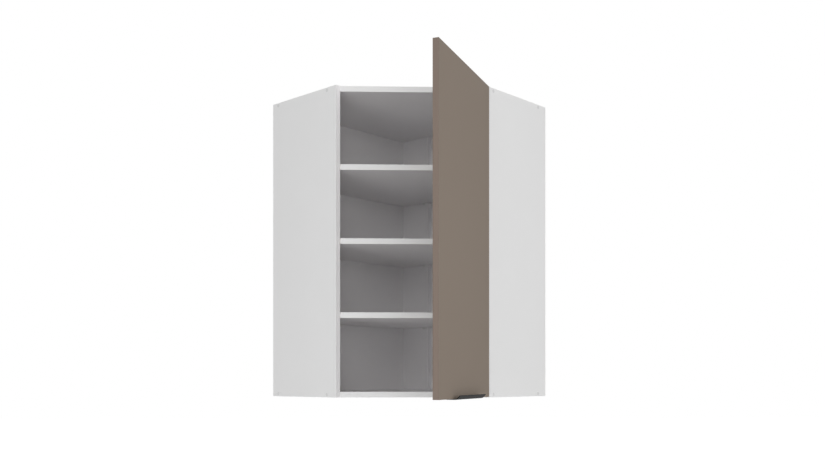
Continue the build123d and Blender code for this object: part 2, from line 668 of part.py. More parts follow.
def hinge_cup(height):
    """Cup let into the door, with its flange and the two ears that carry the pins."""
    face = Plane(origin=inner_face.from_local_coords(Vector(CUP_CENTRE_IN, height, 0)),
                 x_dir=inner_face.x_dir, z_dir=inner_face.z_dir)
    ear_deep = CUP_DEPTH - CUP_SHEET
    with BuildPart() as cup:
        with BuildSketch(face.offset(-CUP_DEPTH)):
            Circle(CUP_R)
        extrude(amount=CUP_DEPTH)
        with BuildSketch(face):
            Circle(FLANGE_R)
            with Locations((FLANGE_SCREW_IN, 0)):
                SlotOverall(FLANGE_SCREW_SPAN + 2 * FLANGE_PAD_R, 2 * FLANGE_PAD_R, rotation=90)
            with Locations((FLANGE_CUT - CUP_CENTRE_IN - FLANGE_R, 0)):
                Rectangle(2 * FLANGE_R, 2 * FLANGE_R, mode=Mode.SUBTRACT)
        extrude(amount=FLANGE)
        with BuildSketch(face.offset(-ear_deep)):
            Circle(CUP_R - CUP_SHEET)
        extrude(amount=ear_deep + FLANGE, mode=Mode.SUBTRACT)
        with BuildSketch(face):
            with Locations((FLANGE_SCREW_IN, 0)):
                with GridLocations(0, FLANGE_SCREW_SPAN, 1, 2):
                    Circle(WOOD_SCREW_R + SEAT)
        extrude(amount=FLANGE, mode=Mode.SUBTRACT)
        for low in (WALL_INNER, -WALL_OUTER):
            with BuildSketch(DOOR.offset(height + low)):
                pins = ((CUP_PIN_IN, CUP_PIN_DEEP), (GUIDE_PIN_IN, GUIDE_PIN_DEEP))
                with Locations(*pins):
                    Circle(LINK_HALF)
                with Locations(((CUP_PIN_IN + GUIDE_PIN_IN) / 2, ear_deep - LINK_HALF)):
                    Rectangle(GUIDE_PIN_IN - CUP_PIN_IN + 2 * LINK_HALF, 2 * LINK_HALF)
                with Locations(*pins):
                    Circle(LINK_PIN_R + SEAT, mode=Mode.SUBTRACT)
            extrude(amount=WALL)
    return cup


def cup_pins(height):
    """A full pin through the neck link and a short stud through each guide cheek."""
    neck, guide = (CUP_PIN_IN, CUP_PIN_DEEP), (GUIDE_PIN_IN, GUIDE_PIN_DEEP)
    with BuildPart() as pins:
        for place, low, high in ((neck, -WALL_OUTER, WALL_OUTER), (guide, CHEEK_INNER, WALL_OUTER),
                                 (guide, -WALL_OUTER, -CHEEK_INNER)):
            with BuildSketch(DOOR.offset(height + low)):
                with Locations(place):
                    Circle(LINK_PIN_R)
            extrude(amount=high - low)
    return pins


def arm_pins(height):
    with BuildPart() as pins:
        with BuildSketch(SIDE.offset(height - WALL_OUTER)):
            with Locations((PIVOT_BACK, PIVOT_OFF), (GUIDE_PIVOT_BACK, GUIDE_PIVOT_OFF)):
                Circle(LINK_PIN_R)
        extrude(amount=2 * WALL_OUTER)
    return pins


def hinge_arm(height):
    """Channel on the mounting plate: two walls and a floor behind the links."""
    with BuildPart() as arm:
        for low in (WALL_INNER, -WALL_OUTER):
            with BuildSketch(SIDE.offset(height + low)):
                with BuildLine():
                    Polyline((ARM_FRONT, PLATE), (ARM_BACK, PLATE), (ARM_BACK, ARM_TALL / 2),
                             (ARM_BRIDGE, ARM_TALL), (ARM_FRONT + ARM_TALL / 2, ARM_TALL),
                             (ARM_FRONT, ARM_TALL / 2), (ARM_FRONT, PLATE))
                make_face()
                with Locations((PIVOT_BACK, PIVOT_OFF), (GUIDE_PIVOT_BACK, GUIDE_PIVOT_OFF)):
                    Circle(LINK_PIN_R + SEAT, mode=Mode.SUBTRACT)
            extrude(amount=WALL)
        with BuildSketch(SIDE.offset(height - WALL_INNER)):
            with Locations(((ARM_BRIDGE + ARM_BACK) / 2, PLATE + ARM_FLOOR / 2)):
                Rectangle(ARM_BACK - ARM_BRIDGE, ARM_FLOOR)
        extrude(amount=2 * WALL_INNER)
        with BuildSketch(panel_face(height)):
            with Locations((ADJUSTER_BACK, 0)):
                Circle(ADJUSTER_R / 2 + SEAT)
        extrude(amount=PLATE + ARM_FLOOR, mode=Mode.SUBTRACT)
    return arm


def panel_face(height):
    """The right end panel's inner face: x back from its front edge, z off the face."""
    origin = SIDE.from_local_coords(Vector(0, 0, height))
    return Plane(origin=origin, x_dir=SIDE.x_dir, z_dir=SIDE.y_dir)


def mounting_plate(height):
    with BuildPart() as plate:
        with BuildSketch(panel_face(height)):
            with Locations(((PLATE_FRONT + PLATE_BACK) / 2, 0)):
                RectangleRounded(PLATE_BACK - PLATE_FRONT, 2 * PLATE_HALF, PLATE_HALF / 3)
            with Locations((PLATE_SCREW_BACK, 0)):
                SlotOverall(PLATE_SCREW_SPAN + 2 * PLATE_WING_R, 2 * PLATE_WING_R, rotation=90)
                with GridLocations(0, PLATE_SCREW_SPAN, 1, 2):
                    Circle(WOOD_SCREW_R + SEAT, mode=Mode.SUBTRACT)
            with Locations((ADJUSTER_BACK, 0)):
                Circle(ADJUSTER_R / 2 + SEAT, mode=Mode.SUBTRACT)
        extrude(amount=PLATE)
    return plate


def arm_adjuster(height):
    """Screw that clamps the arm to its plate."""
    with BuildPart() as adjuster:
        with BuildSketch(panel_face(height).offset(SEAT)):
            with Locations((ADJUSTER_BACK, 0)):
                Circle(ADJUSTER_R / 2)
        extrude(amount=PLATE + ARM_FLOOR - SEAT)
        with BuildSketch(panel_face(height).offset(PLATE + ARM_FLOOR)):
            with Locations((ADJUSTER_BACK, 0)):
                Circle(ADJUSTER_R)
                cross(*ADJUSTER_CROSS, mode=Mode.SUBTRACT)
        extrude(amount=WOOD_HEAD)
    return adjuster


def cup_screws(height):
    with BuildPart() as screws:
        with Locations(inner_face.offset(FLANGE)):
            with Locations((CUP_CENTRE_IN + FLANGE_SCREW_IN, height)):
                with GridLocations(0, FLANGE_SCREW_SPAN, 1, 2):
                    add(single_wood_screw.part)
    return screws


def plate_screws(height):
    with BuildPart() as screws:
        with Locations(panel_face(height).offset(PLATE)):
            with Locations((PLATE_SCREW_BACK, 0)):
                with GridLocations(0, PLATE_SCREW_SPAN, 1, 2):
                    add(single_wood_screw.part)
    return screws


HINGE_PIECES = {
    "hinge_cup": hinge_cup, "hinge_cup_pins": cup_pins, "hinge_cup_screws": cup_screws,
    "hinge_neck_link": neck_link, "hinge_guide_link": guide_link, "hinge_arm": hinge_arm,
    "hinge_arm_pins": arm_pins, "hinge_arm_adjuster": arm_adjuster,
    "hinge_plate": mounting_plate, "hinge_plate_screws": plate_screws}

for place, height in zip(("lower", "upper"), HINGE_HEIGHTS):
    for piece, make in HINGE_PIECES.items():
        write(make(height), f"{place}_{piece}")

# ---------------------------------------------------------------- cabinet hangers
# Each is made on the right wall and mirrored for the left one.
HOUSING_LONG, HOUSING_OFF, HOUSING_TALL = HANGER_HOUSING
ARM_WIDE, ARM_THICK = HANGER_ARM
HOUSING_BACK = BACK_FRONT + HANGER_PLAY
HOUSING_LOW = INNER_TOP - HANGER_TOP - HOUSING_TALL
HOUSING_MID_Q = HOUSING_BACK + HOUSING_LONG / 2
ARM_UNDER = HANGER_ARM_TOP - ARM_THICK
ARM_IN_HOUSING = 2 * ARM_THICK
TIP_THICK = WALL_PLATE_STEP - HANGER_TIP_OFF - HANGER_PLAY

with BuildPart() as hanger_housing:
    with BuildSketch(WALLS.offset(HOUSING_LOW)):
        with Locations((HANGER_ARM_P, -HOUSING_MID_Q)):
            Rectangle(HOUSING_OFF, HOUSING_LONG)
    extrude(amount=HOUSING_TALL)
    fillet(hanger_housing.edges().filter_by(Axis.Z).group_by(Axis.Y)[0], radius=ARM_THICK)
    with BuildSketch(WALLS.offset(ARM_UNDER - HANGER_PLAY)):
        with Locations((HANGER_ARM_P, -HOUSING_BACK - ARM_IN_HOUSING / 2)):
            Rectangle(ARM_WIDE + 2 * HANGER_PLAY, ARM_IN_HOUSING)
    extrude(amount=ARM_THICK + 2 * HANGER_PLAY, mode=Mode.SUBTRACT)
    housing_front = Plane(
        origin=WALLS.from_local_coords((0, -HOUSING_BACK - HOUSING_LONG, 0)),
        x_dir=(1, -1, 0), z_dir=(-1, -1, 0))
    with BuildSketch(housing_front):
        with Locations((HANGER_ARM_P, HOUSING_LOW + HOUSING_TALL / 2)):
            with GridLocations(0, HANGER_SCREW_SPAN, 1, 2):
                Circle(HANGER_SCREW_R + SEAT)
    extrude(amount=-HANGER_SCREW_GRIP - SEAT, mode=Mode.SUBTRACT)

with BuildPart() as hanger_hook:
    with BuildSketch(WALLS.offset(ARM_UNDER)):
        reach = HOUSING_BACK + ARM_IN_HOUSING - HANGER_TIP_OFF
        with Locations((HANGER_ARM_P, -HANGER_TIP_OFF - reach / 2)):
            Rectangle(ARM_WIDE, reach)
    extrude(amount=ARM_THICK)
    with BuildSketch(WALLS.offset(ARM_UNDER - HANGER_TIP)):
        with Locations((HANGER_ARM_P, -HANGER_TIP_OFF - TIP_THICK / 2)):
            Rectangle(ARM_WIDE, TIP_THICK)
    extrude(amount=HANGER_TIP)

with BuildPart() as hanger_screws:
    with BuildSketch(housing_front.offset(-HANGER_SCREW_GRIP)):
        with Locations((HANGER_ARM_P, HOUSING_LOW + HOUSING_TALL / 2)):
            with GridLocations(0, HANGER_SCREW_SPAN, 1, 2):
                Circle(HANGER_SCREW_R)
    extrude(amount=HANGER_SCREW_GRIP)
    with BuildSketch(housing_front):
        with Locations((HANGER_ARM_P, HOUSING_LOW + HOUSING_TALL / 2)):
            with GridLocations(0, HANGER_SCREW_SPAN, 1, 2):
                cross(*HANGER_CROSS)
    extrude(amount=-HANGER_CROSS_DEEP, mode=Mode.SUBTRACT)

PLATE_LONG, PLATE_THICK, PLATE_TALL = WALL_PLATE
PLATE_MID_P = SPAN - WALL_PLATE_IN - PLATE_LONG / 2
PLATE_TOP = ARM_UNDER - WALL_PLATE_LIP

with BuildPart() as wall_plate:
    wall_section = Plane(origin=WALLS.from_local_coords((PLATE_MID_P + PLATE_LONG / 2, 0, 0)),
                         x_dir=(-1, -1, 0), z_dir=(-1, 1, 0))
    with BuildSketch(wall_section):
        with BuildLine():
            Polyline((0, PLATE_TOP - PLATE_TALL), (PLATE_THICK, PLATE_TOP - PLATE_TALL),
                     (PLATE_THICK, PLATE_TOP - PLATE_THICK),
                     (WALL_PLATE_STEP + PLATE_THICK, PLATE_TOP - PLATE_THICK),
                     (WALL_PLATE_STEP + PLATE_THICK, ARM_UNDER), (WALL_PLATE_STEP, ARM_UNDER),
                     (WALL_PLATE_STEP, PLATE_TOP), (0, PLATE_TOP), (0, PLATE_TOP - PLATE_TALL))
        make_face()
    extrude(amount=PLATE_LONG)
    wall_face = Plane(origin=(0, 0, 0), x_dir=(1, -1, 0), z_dir=(-1, -1, 0))
    with BuildSketch(wall_face):
        with Locations((PLATE_MID_P, PLATE_TOP - PLATE_TALL / 2 - PLATE_THICK)):
            with GridLocations(WALL_HOLE_SPAN, 0, 2, 1):
                Circle(WALL_HOLE_R)
    extrude(amount=PLATE_THICK, mode=Mode.SUBTRACT)

for piece, made in (("hanger_housing", hanger_housing), ("hanger_hook", hanger_hook),
                    ("hanger_screws", hanger_screws), ("wall_plate", wall_plate)):
    write(made, f"right_{piece}")
    with BuildPart() as mirrored:
        mirror(made.part, about=Plane.YZ)
    write(mirrored, f"left_{piece}")
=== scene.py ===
"""Corner wall cabinet: finishes, fasteners, caps and the studio round it."""

import math

import bpy
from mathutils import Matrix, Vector


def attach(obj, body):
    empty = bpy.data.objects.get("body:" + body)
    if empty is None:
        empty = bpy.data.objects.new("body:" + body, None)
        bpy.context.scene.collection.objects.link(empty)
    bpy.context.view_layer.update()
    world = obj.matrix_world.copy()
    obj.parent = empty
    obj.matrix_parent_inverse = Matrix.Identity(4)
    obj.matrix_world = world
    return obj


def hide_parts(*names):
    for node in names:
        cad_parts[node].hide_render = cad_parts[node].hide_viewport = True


bl_info = {
    "name": "Corner Wall Cabinet",
    "version": (1, 0, 0),
    "blender": (4, 5, 0),
    "location": "View3D > Sidebar > Cabinet",
    "description": "Dresses a corner wall cabinet and sets up its studio",
    "category": "Object",
}

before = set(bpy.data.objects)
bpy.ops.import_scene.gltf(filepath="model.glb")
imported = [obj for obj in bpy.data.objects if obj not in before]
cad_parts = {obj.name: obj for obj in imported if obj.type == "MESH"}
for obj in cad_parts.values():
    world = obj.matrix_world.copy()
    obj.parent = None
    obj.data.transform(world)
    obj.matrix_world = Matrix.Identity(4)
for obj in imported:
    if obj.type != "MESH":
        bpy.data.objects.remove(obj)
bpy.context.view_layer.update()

MM = 0.001

# The cabinet's own sizes, in millimetres, as in the solid model.
LEG = 598.0                     # along each wall
DEPTH = 288.0                   # of the end panels
HEIGHT = 900.0
BOARD = 16.0
BACK_FRONT = 21.1               # front face of a back panel, from its wall
CORNER_BOARD_WIDTH = 115.0
ROW_NEAR = 25.5                 # the two screw rows, each from an upright edge of an end panel
ROW_FAR = 38.5
SCREW_ROWS = {"right": (ROW_FAR, DEPTH - ROW_NEAR), "left": (ROW_NEAR, DEPTH - ROW_FAR)}
OPENING = 66.0                  # rest pose, degrees from closed
SCREW_REACH = 20.0              # longer than a wood screw, shorter than their spacing
RIM_BAND = 0.1                  # below a screw's top, where its rim is looked for

# Directions in the room, seen from above.
DIAGONAL = 1 / math.sqrt(2)
ALONG_RIGHT = Vector((DIAGONAL, -DIAGONAL, 0))
ALONG_LEFT = Vector((-DIAGONAL, -DIAGONAL, 0))
UP = Vector((0, 0, 1))
INTO_CABINET = Vector((-math.sin(math.radians(OPENING)), math.cos(math.radians(OPENING)), 0))

LEVEL_BOARDS = ("top_panel", "bottom_panel", "lower_shelf", "middle_shelf", "upper_shelf")


def wall_point(right, left, up):
    """A point from its distances along the two walls, in metres."""
    return (ALONG_RIGHT * right + ALONG_LEFT * left + UP * up) * MM


def linear(value):
    """One channel of a screen colour as light."""
    value = value / 255
    return value / 12.92 if value <= 0.04045 else ((value + 0.055) / 1.055) ** 2.4


def tone(red, green, blue):
    """A screen colour, 0 to 255 a channel, as light."""
    return (linear(red), linear(green), linear(blue))


# ------------------------------------------------------------------ settings
def colour(name, description, default):
    """A colour that the user can pick."""
    return bpy.props.FloatVectorProperty(
        name=name, description=description, subtype="COLOR", size=3, min=0, max=1, default=default)


def length(name, description, millimetres):
    """A size that the user can set, its default given in millimetres."""
    return bpy.props.FloatProperty(
        name=name, description=description, subtype="DISTANCE", unit="LENGTH", min=0,
        default=millimetres * MM)


def strength(name, description, default):
    """A light's strength that the user can set."""
    return bpy.props.FloatProperty(name=name, description=description, min=0, default=default)


def power(name, description, watts):
    """A lamp's power that the user can set."""
    return bpy.props.FloatProperty(
        name=name, description=description, min=0, default=watts, unit="POWER")


class CabinetColours(bpy.types.PropertyGroup):
    board: colour("Board", "Face of the end panels", tone(236, 236, 236))
    level: colour("Level board", "Face of the top, bottom and shelves", tone(240, 238.4, 239.3))
    front_band: colour("Front edges", "Edge bands of the level boards", tone(228, 228, 228))
    side_band: colour("Upright edges", "Edge bands of the upright boards", tone(244, 243, 244))
    back: colour("Back", "Face of the back panels and corner board", tone(235, 233.4, 234.3))
    core: colour("Core", "Raw chipboard at the unbanded edges", tone(212, 188, 150))
    core_chip: colour("Core chips", "Darker chips in the raw chipboard", tone(150, 116, 78))
    door: colour("Door", "Face of the door", tone(139.5, 127, 115))
    door_band: colour("Door edge", "Edge bands of the door", tone(129, 115.5, 106.5))
    pull: colour("Pull", "Coating of the edge pull", tone(24, 24, 25))
    cap: colour("Cap", "Screw caps", tone(220, 220, 220))
    plastic: colour("Plastic", "Shelf pins and hanger housings", tone(228, 228, 226))
    buffer: colour("Buffer", "Soft door buffers", tone(205, 207, 208))
    nickel: colour("Nickel", "Hinge metal", tone(200, 199, 196))
    zinc: colour("Zinc", "Screws and wall plates", tone(186, 190, 195))


class CabinetSizes(bpy.types.PropertyGroup):
    cap_radius: length("Cap radius", "Radius of a screw cap", 5.0)
    cap_rim: length("Cap rim", "Height of a cap's rim above the board", 0.45)
    cap_dome: length("Cap dome", "Rise of a cap's middle above its rim", 0.35)
    cap_peg_radius: length("Cap peg radius", "Radius of the peg that sits in the screw", 1.4)
    cap_peg_length: length("Cap peg length", "Length of the peg", 2.4)
    joiner_length: length("Joining screw length", "Length with the head", 50.0)
    joiner_radius: length("Joining screw radius", "Radius of the thread's core", 1.75)
    joiner_plain: length("Joining screw plain part", "Length without thread", 12.0)
    joiner_pitch: length("Joining screw pitch", "Distance between thread turns", 2.4)
    joiner_head: length("Joining screw head", "Radius of the head", 3.75)
    joiner_rise: length("Joining screw head rise", "Height of the head", 2.2)
    joiner_sink: length("Joining screw sink", "Depth of the head below the board's face", 0.6)
    joiner_socket: length("Joining screw socket", "Radius of the hexagon socket", 1.7)
    joiner_socket_depth: length("Joining screw socket depth", "Depth of the hexagon socket", 1.9)
    screw_length: length("Wood screw length", "Length under the head", 13.0)
    screw_radius: length("Wood screw radius", "Radius of the thread's core", 1.3)
    screw_plain: length("Wood screw plain part", "Length without thread", 1.5)
    screw_pitch: length("Wood screw pitch", "Distance between thread turns", 1.6)
    screw_head: length("Wood screw head", "Radius of the head", 3.4)
    screw_rise: length("Wood screw head rise", "Height of the head", 1.6)
    screw_recess: length("Wood screw recess", "Radius of the cross recess", 1.8)


class StudioSettings(bpy.types.PropertyGroup):
    floor_drop: length("Floor drop", "Floor below the cabinet's underside", 1450.0)
    world_strength: strength("Surrounding light", "Strength of the even light all round", 0.497)
    left_power: power("Left lamp", "Power of the soft lamp in front on the left", 28.4)
    middle_power: power("Middle lamp", "Power of the soft lamp straight in front", 16.1)
    inner_power: power("Inner lamp", "Power of the soft lamp in front, right of the door", 15.6)
    right_power: power("Right lamp", "Power of the soft lamp on the right", 29.9)
    low_power: power("Low lamp", "Power of the soft lamp near the floor", 13.4)
    low_left_power: power("Low left lamp", "Power of the soft lamp near the floor on the left", 23.2)
    top_power: power("Top lamp", "Power of the soft lamp overhead", 10.7)
    rear_power: power("Rear lamps", "Power of the two soft lamps behind", 18.0)


# ------------------------------------------------------------------ node trees
# A Mix node's sockets for colours, by number, because their names come more than once.
MIX_FIRST = 6
MIX_SECOND = 7
MIX_COLOUR = 2


class Nodes:
    """Adds and links the nodes of one tree."""

    def __init__(self, tree):
        self.tree = tree
        tree.nodes.clear()

    def node(self, kind, **settings):
        made = self.tree.nodes.new(kind)
        for key, value in settings.items():
            setattr(made, key, value)
        return made

    def link(self, source, out, target, into):
        self.tree.links.new(source.outputs[out], target.inputs[into])


class Shader(Nodes):
    """The nodes of one material."""

    def __init__(self, name):
        self.material = bpy.data.materials.new(name)
        self.material.use_nodes = True
        super().__init__(self.material.node_tree)
        output = self.node("ShaderNodeOutputMaterial")
        self.surface = self.node("ShaderNodeBsdfPrincipled")
        self.link(self.surface, "BSDF", output, "Surface")
        self.place = self.node("ShaderNodeTexCoord")

    def stretched(self, scale):
        """Object coordinates scaled along each axis."""
        mapping = self.node("ShaderNodeMapping")
        mapping.inputs["Scale"].default_value = scale
        self.link(self.place, "Object", mapping, "Vector")
        return mapping

    def noise(self, scale, detail, source=None, roughness=0.5):
        """A cloudy pattern, its scale in clouds a metre, on the object's or another node's coordinates."""
        made = self.node("ShaderNodeTexNoise")
        made.inputs["Scale"].default_value = scale
        made.inputs["Detail"].default_value = detail
        made.inputs["Roughness"].default_value = roughness
        if source is None:
            self.link(self.place, "Object", made, "Vector")
        else:
            self.link(source, "Vector", made, "Vector")
        return made

    def spread(self, source, out, low, high, start=0.0, end=1.0):
        """A value taken from one range to another."""
        made = self.node("ShaderNodeMapRange")
        made.inputs["From Min"].default_value = start
        made.inputs["From Max"].default_value = end
        made.inputs["To Min"].default_value = low
        made.inputs["To Max"].default_value = high
        self.link(source, out, made, "Value")
        return made

    def mixed(self, source, out, first, second):
        """A colour between two others, by a value."""
        made = self.node("ShaderNodeMix", data_type="RGBA")
        made.inputs[MIX_FIRST].default_value = (*first, 1)
        made.inputs[MIX_SECOND].default_value = (*second, 1)
        self.link(source, out, made, 0)
        return made

    def shade(self, base, source, out, change):
        """A colour made lighter and darker by a value round one half."""
        darker = [max(channel * (1 - change), 0) for channel in base]
        lighter = [min(channel * (1 + change), 1) for channel in base]
        return self.mixed(source, out, darker, lighter)

    def paint(self, base, source, out, change):
        """Give the surface a colour, made lighter and darker by a value."""
        self.link(self.shade(base, source, out, change), MIX_COLOUR, self.surface, "Base Color")

    def dull(self, source, out, low, high):
        """Give the surface a roughness that goes from low to high with a value."""
        self.link(self.spread(source, out, low, high), "Result", self.surface, "Roughness")

    def bump(self, source, out, distance, strength):
        """Roughen the surface with a value: its depth in metres, and the share of it that shows."""
        made = self.node("ShaderNodeBump")
        made.inputs["Distance"].default_value = distance
        made.inputs["Strength"].default_value = strength
        self.link(source, out, made, "Height")
        self.link(made, "Normal", self.surface, "Normal")

    def set(self, **values):
        """Set the surface's own inputs, an underscore for each space in their names."""
        for key, value in values.items():
            self.surface.inputs[key.replace("_", " ")].default_value = value


# ------------------------------------------------------------------ materials
CHIP_SCALE = 380.0      # chips in a metre along a board
CHIP_PACKING = 3.2      # how many times closer they lie through its thickness
CHIP_BEND = 0.003       # metres that their outlines wander by, at most
SKIN_FROM = 0.6         # cosine to a board's facing at which its white skin begins
SKIN_FULL = 0.62        # cosine at which it is whole


def chip_places(shader, facing):
    """Object coordinates packed closer through a board's thickness and bent a little."""
    through = shader.node("ShaderNodeVectorMath", operation="DOT_PRODUCT")
    through.inputs[1].default_value = facing
    shader.link(shader.place, "Object", through, 0)
    packed = shader.node("ShaderNodeVectorMath", operation="MULTIPLY_ADD")
    packed.inputs[1].default_value = facing * (CHIP_PACKING - 1)
    shader.link(through, "Value", packed, 0)
    shader.link(shader.place, "Object", packed, 2)
    bend = shader.noise(420.0, 2.0)
    bent = shader.node("ShaderNodeVectorMath", operation="MULTIPLY_ADD")
    bent.inputs[1].default_value = (CHIP_BEND, CHIP_BEND, CHIP_BEND)
    shader.link(bend, "Color", bent, 0)
    shader.link(packed, "Vector", bent, 2)
    return bent


def raw_chips(shader, core, chip, facing):
    """Flat chips of two colours: the node with their pattern and the node with their colour."""
    chips = shader.node("ShaderNodeTexVoronoi")
    chips.inputs["Scale"].default_value = CHIP_SCALE
    shader.link(chip_places(shader, facing), "Vector", chips, "Vector")
    tones = shader.node("ShaderNodeSeparateColor")
    shader.link(chips, "Color", tones, "Color")
    grit = shader.noise(1500.0, 4.0, roughness=0.7)
    blend = shader.node("ShaderNodeMath", operation="MULTIPLY")
    shader.link(tones, "Red", blend, 0)
    shader.link(grit, "Fac", blend, 1)
    share = shader.spread(blend, "Value", 0, 1, 0.06, 0.6)
    return chips, shader.mixed(share, "Result", core, chip)


def board_material(name, face, core, chip, facing):
    """White faced chipboard: a fine pearl on its faces, raw flat chips on its other sides."""
    shader = Shader(name)
    broad = shader.noise(9.0, 2.0)
    pearl = shader.noise(1400.0, 2.0)
    skin = shader.shade(face, broad, "Fac", 0.012)
    chips, chip_colour = raw_chips(shader, core, chip, facing)
    dot = shader.node("ShaderNodeVectorMath", operation="DOT_PRODUCT")
    dot.inputs[1].default_value = facing
    shader.link(shader.place, "Normal", dot, 0)
    cosine = shader.node("ShaderNodeMath", operation="ABSOLUTE")
    shader.link(dot, "Value", cosine, 0)
    raw = shader.spread(cosine, "Value", 1, 0, SKIN_FROM, SKIN_FULL)
    mix = shader.node("ShaderNodeMix", data_type="RGBA")
    shader.link(raw, "Result", mix, 0)
    shader.link(skin, MIX_COLOUR, mix, MIX_FIRST)
    shader.link(chip_colour, MIX_COLOUR, mix, MIX_SECOND)
    shader.link(mix, MIX_COLOUR, shader.surface, "Base Color")
    shader.dull(raw, "Result", 0.46, 0.9)
    height = shader.node("ShaderNodeMath", operation="MULTIPLY_ADD")
    shader.link(raw, "Result", height, 0)
    shader.link(chips, "Distance", height, 1)
    shader.link(shader.spread(pearl, "Fac", 0, 0.25), "Result", height, 2)
    shader.bump(height, "Value", 0.00012, 0.35)
    shader.set(Specular_IOR_Level=0.3)
    return shader.material


def faced_material(name, base, roughness, grain, change=0.015, shine=0.25):
    """A plain matt facing with a fine texture and a faint broad tone."""
    shader = Shader(name)
    broad = shader.noise(7.0, 2.0)
    fine = shader.noise(1100.0, 3.0, source=shader.stretched(grain))
    both = shader.node("ShaderNodeMath", operation="MULTIPLY_ADD")
    both.inputs[1].default_value = 0.5
    shader.link(fine, "Fac", both, 0)
    shader.link(shader.spread(broad, "Fac", 0, 0.5), "Result", both, 2)
    shader.paint(base, both, "Value", change)
    shader.dull(fine, "Fac", roughness - 0.04, roughness + 0.04)
    shader.bump(fine, "Fac", 0.0001, 0.25)
    shader.set(Specular_IOR_Level=shine)
    return shader.material


def plastic_material(name, base, roughness, see_through=0.0):
    """Moulded plastic with a slight cloud and a fine matt grain."""
    shader = Shader(name)
    cloud = shader.noise(60.0, 3.0)
    fine = shader.noise(2600.0, 2.0)
    shader.paint(base, cloud, "Fac", 0.02)
    shader.dull(cloud, "Fac", roughness - 0.05, roughness + 0.05)
    shader.bump(fine, "Fac", 0.00004, 0.3)
    shader.set(IOR=1.48, Transmission_Weight=see_through)
    return shader.material


def coated_material(name, base):
    """Matt powder coating with a fine orange peel."""
    shader = Shader(name)
    peel = shader.noise(1800.0, 2.0)
    broad = shader.noise(30.0, 2.0)
    shader.paint(base, broad, "Fac", 0.08)
    shader.dull(peel, "Fac", 0.5, 0.6)
    shader.bump(peel, "Fac", 0.00008, 0.4)
    shader.set(Specular_IOR_Level=0.06)
    return shader.material


def metal_material(name, base, roughness, scale):
    """Plated steel with fine drawn marks."""
    shader = Shader(name)
    marks = shader.noise(scale, 4.0, source=shader.stretched((1, 1, 14)))
    cloud = shader.noise(120.0, 2.0)
    shader.paint(base, cloud, "Fac", 0.06)
    shader.dull(marks, "Fac", roughness - 0.08, roughness + 0.12)
    shader.bump(marks, "Fac", 0.00003, 0.3)
    shader.set(Metallic=1.0)
    return shader.material


def dress(node, material):
    """Give every material slot of a CAD node one material."""
    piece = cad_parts[node]
    if not piece.material_slots:
        piece.data.materials.append(material)
    for slot in piece.material_slots:
        slot.material = material


def dress_all(names, material):
    """Give several CAD nodes one material."""
    for name in names:
        dress(name, material)


def named(*parts):
    """CAD nodes whose name holds any of the given words."""
    return [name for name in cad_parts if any(part in name for part in parts)]


# ------------------------------------------------------------------ fastener trees
class Growth(Nodes):
    """The nodes of one Geometry Nodes tree, which sets a piece on each given point."""

    def __init__(self, name, lengths):
        super().__init__(bpy.data.node_groups.new(name, "GeometryNodeTree"))
        face = self.tree.interface
        face.new_socket(name="Geometry", in_out="OUTPUT", socket_type="NodeSocketGeometry")
        sockets = [("Places", "Geometry"), ("Turn", "Rotation"), ("Material", "Material")]
        sockets += [(label, "Float") for label in lengths]
        for label, kind in sockets:
            face.new_socket(name=label, in_out="INPUT", socket_type=f"NodeSocket{kind}")
        self.input = self.node("NodeGroupInput")
        self.output = self.node("NodeGroupOutput")

    def reckon(self, operation, first, second):
        """A value worked out from two others, each a number or a (node, output) pair."""
        made = self.node("ShaderNodeMath", operation=operation)
        for index, value in enumerate((first, second)):
            self.feed(value, made, index)
        return (made, "Value")

    def given(self, label):
        """The tree's own input of that name."""
        return (self.input, label)

    def feed(self, value, target, into):
        """Give an input a number or a (node, output) pair."""
        if isinstance(value, tuple):
            self.link(value[0], value[1], target, into)
        else:
            target.inputs[into].default_value = value

    def lifted(self, piece, out, height):
        """A piece moved along z by a value."""
        vector = self.node("ShaderNodeCombineXYZ")
        self.feed(height, vector, "Z")
        moved = self.node("GeometryNodeTransform")
        self.link(piece, out, moved, "Geometry")
        self.link(vector, "Vector", moved, "Translation")
        return moved

    def cone(self, sides, top, bottom, depth):
        """A cone, cylinder or prism that stands on the origin."""
        made = self.node("GeometryNodeMeshCone")
        made.inputs["Vertices"].default_value = sides
        self.feed(top, made, "Radius Top")
        self.feed(bottom, made, "Radius Bottom")
        self.feed(depth, made, "Depth")
        return made

    def finish(self, piece, out):
        """Instance the piece on the given points, realise it and set its material."""
        placed = self.node("GeometryNodeInstanceOnPoints")
        self.link(self.input, "Places", placed, "Points")
        self.link(piece, out, placed, "Instance")
        self.link(self.input, "Turn", placed, "Rotation")
        real = self.node("GeometryNodeRealizeInstances")
        self.link(placed, "Instances", real, "Geometry")
        dressed = self.node("GeometryNodeSetMaterial")
        self.link(real, "Geometry", dressed, "Geometry")
        self.link(self.input, "Material", dressed, "Material")
        self.link(dressed, "Geometry", self.output, "Geometry")
        return self.tree


SCREW_LENGTHS = ("Core Radius", "Length", "Plain Length", "Pitch", "Head Bottom", "Head Top",
                 "Head Height", "Recess Radius", "Recess Depth")
HEAD_SIDES = 40
SHANK_SIDES = 24
POINT_SHARE = 2.0       # length of a screw's point over the radius of its core
TURN_STEPS = 20         # steps in one turn of the thread
RIDGE_SIDES = 4
RIDGE_SHARE = 0.26      # radius of the thread's ridge over its pitch
BAR_SHARE = 0.36        # width of a cross recess's bars over the recess's radius
NECK_SHARE = 1.4        # radius under a countersunk head over the radius of the screw's core
CROWN_SHARE = 0.62      # radius at the top of a wood screw's head over the head's radius
RECESS_SHARE = 0.6      # depth of a cross recess over the head's height


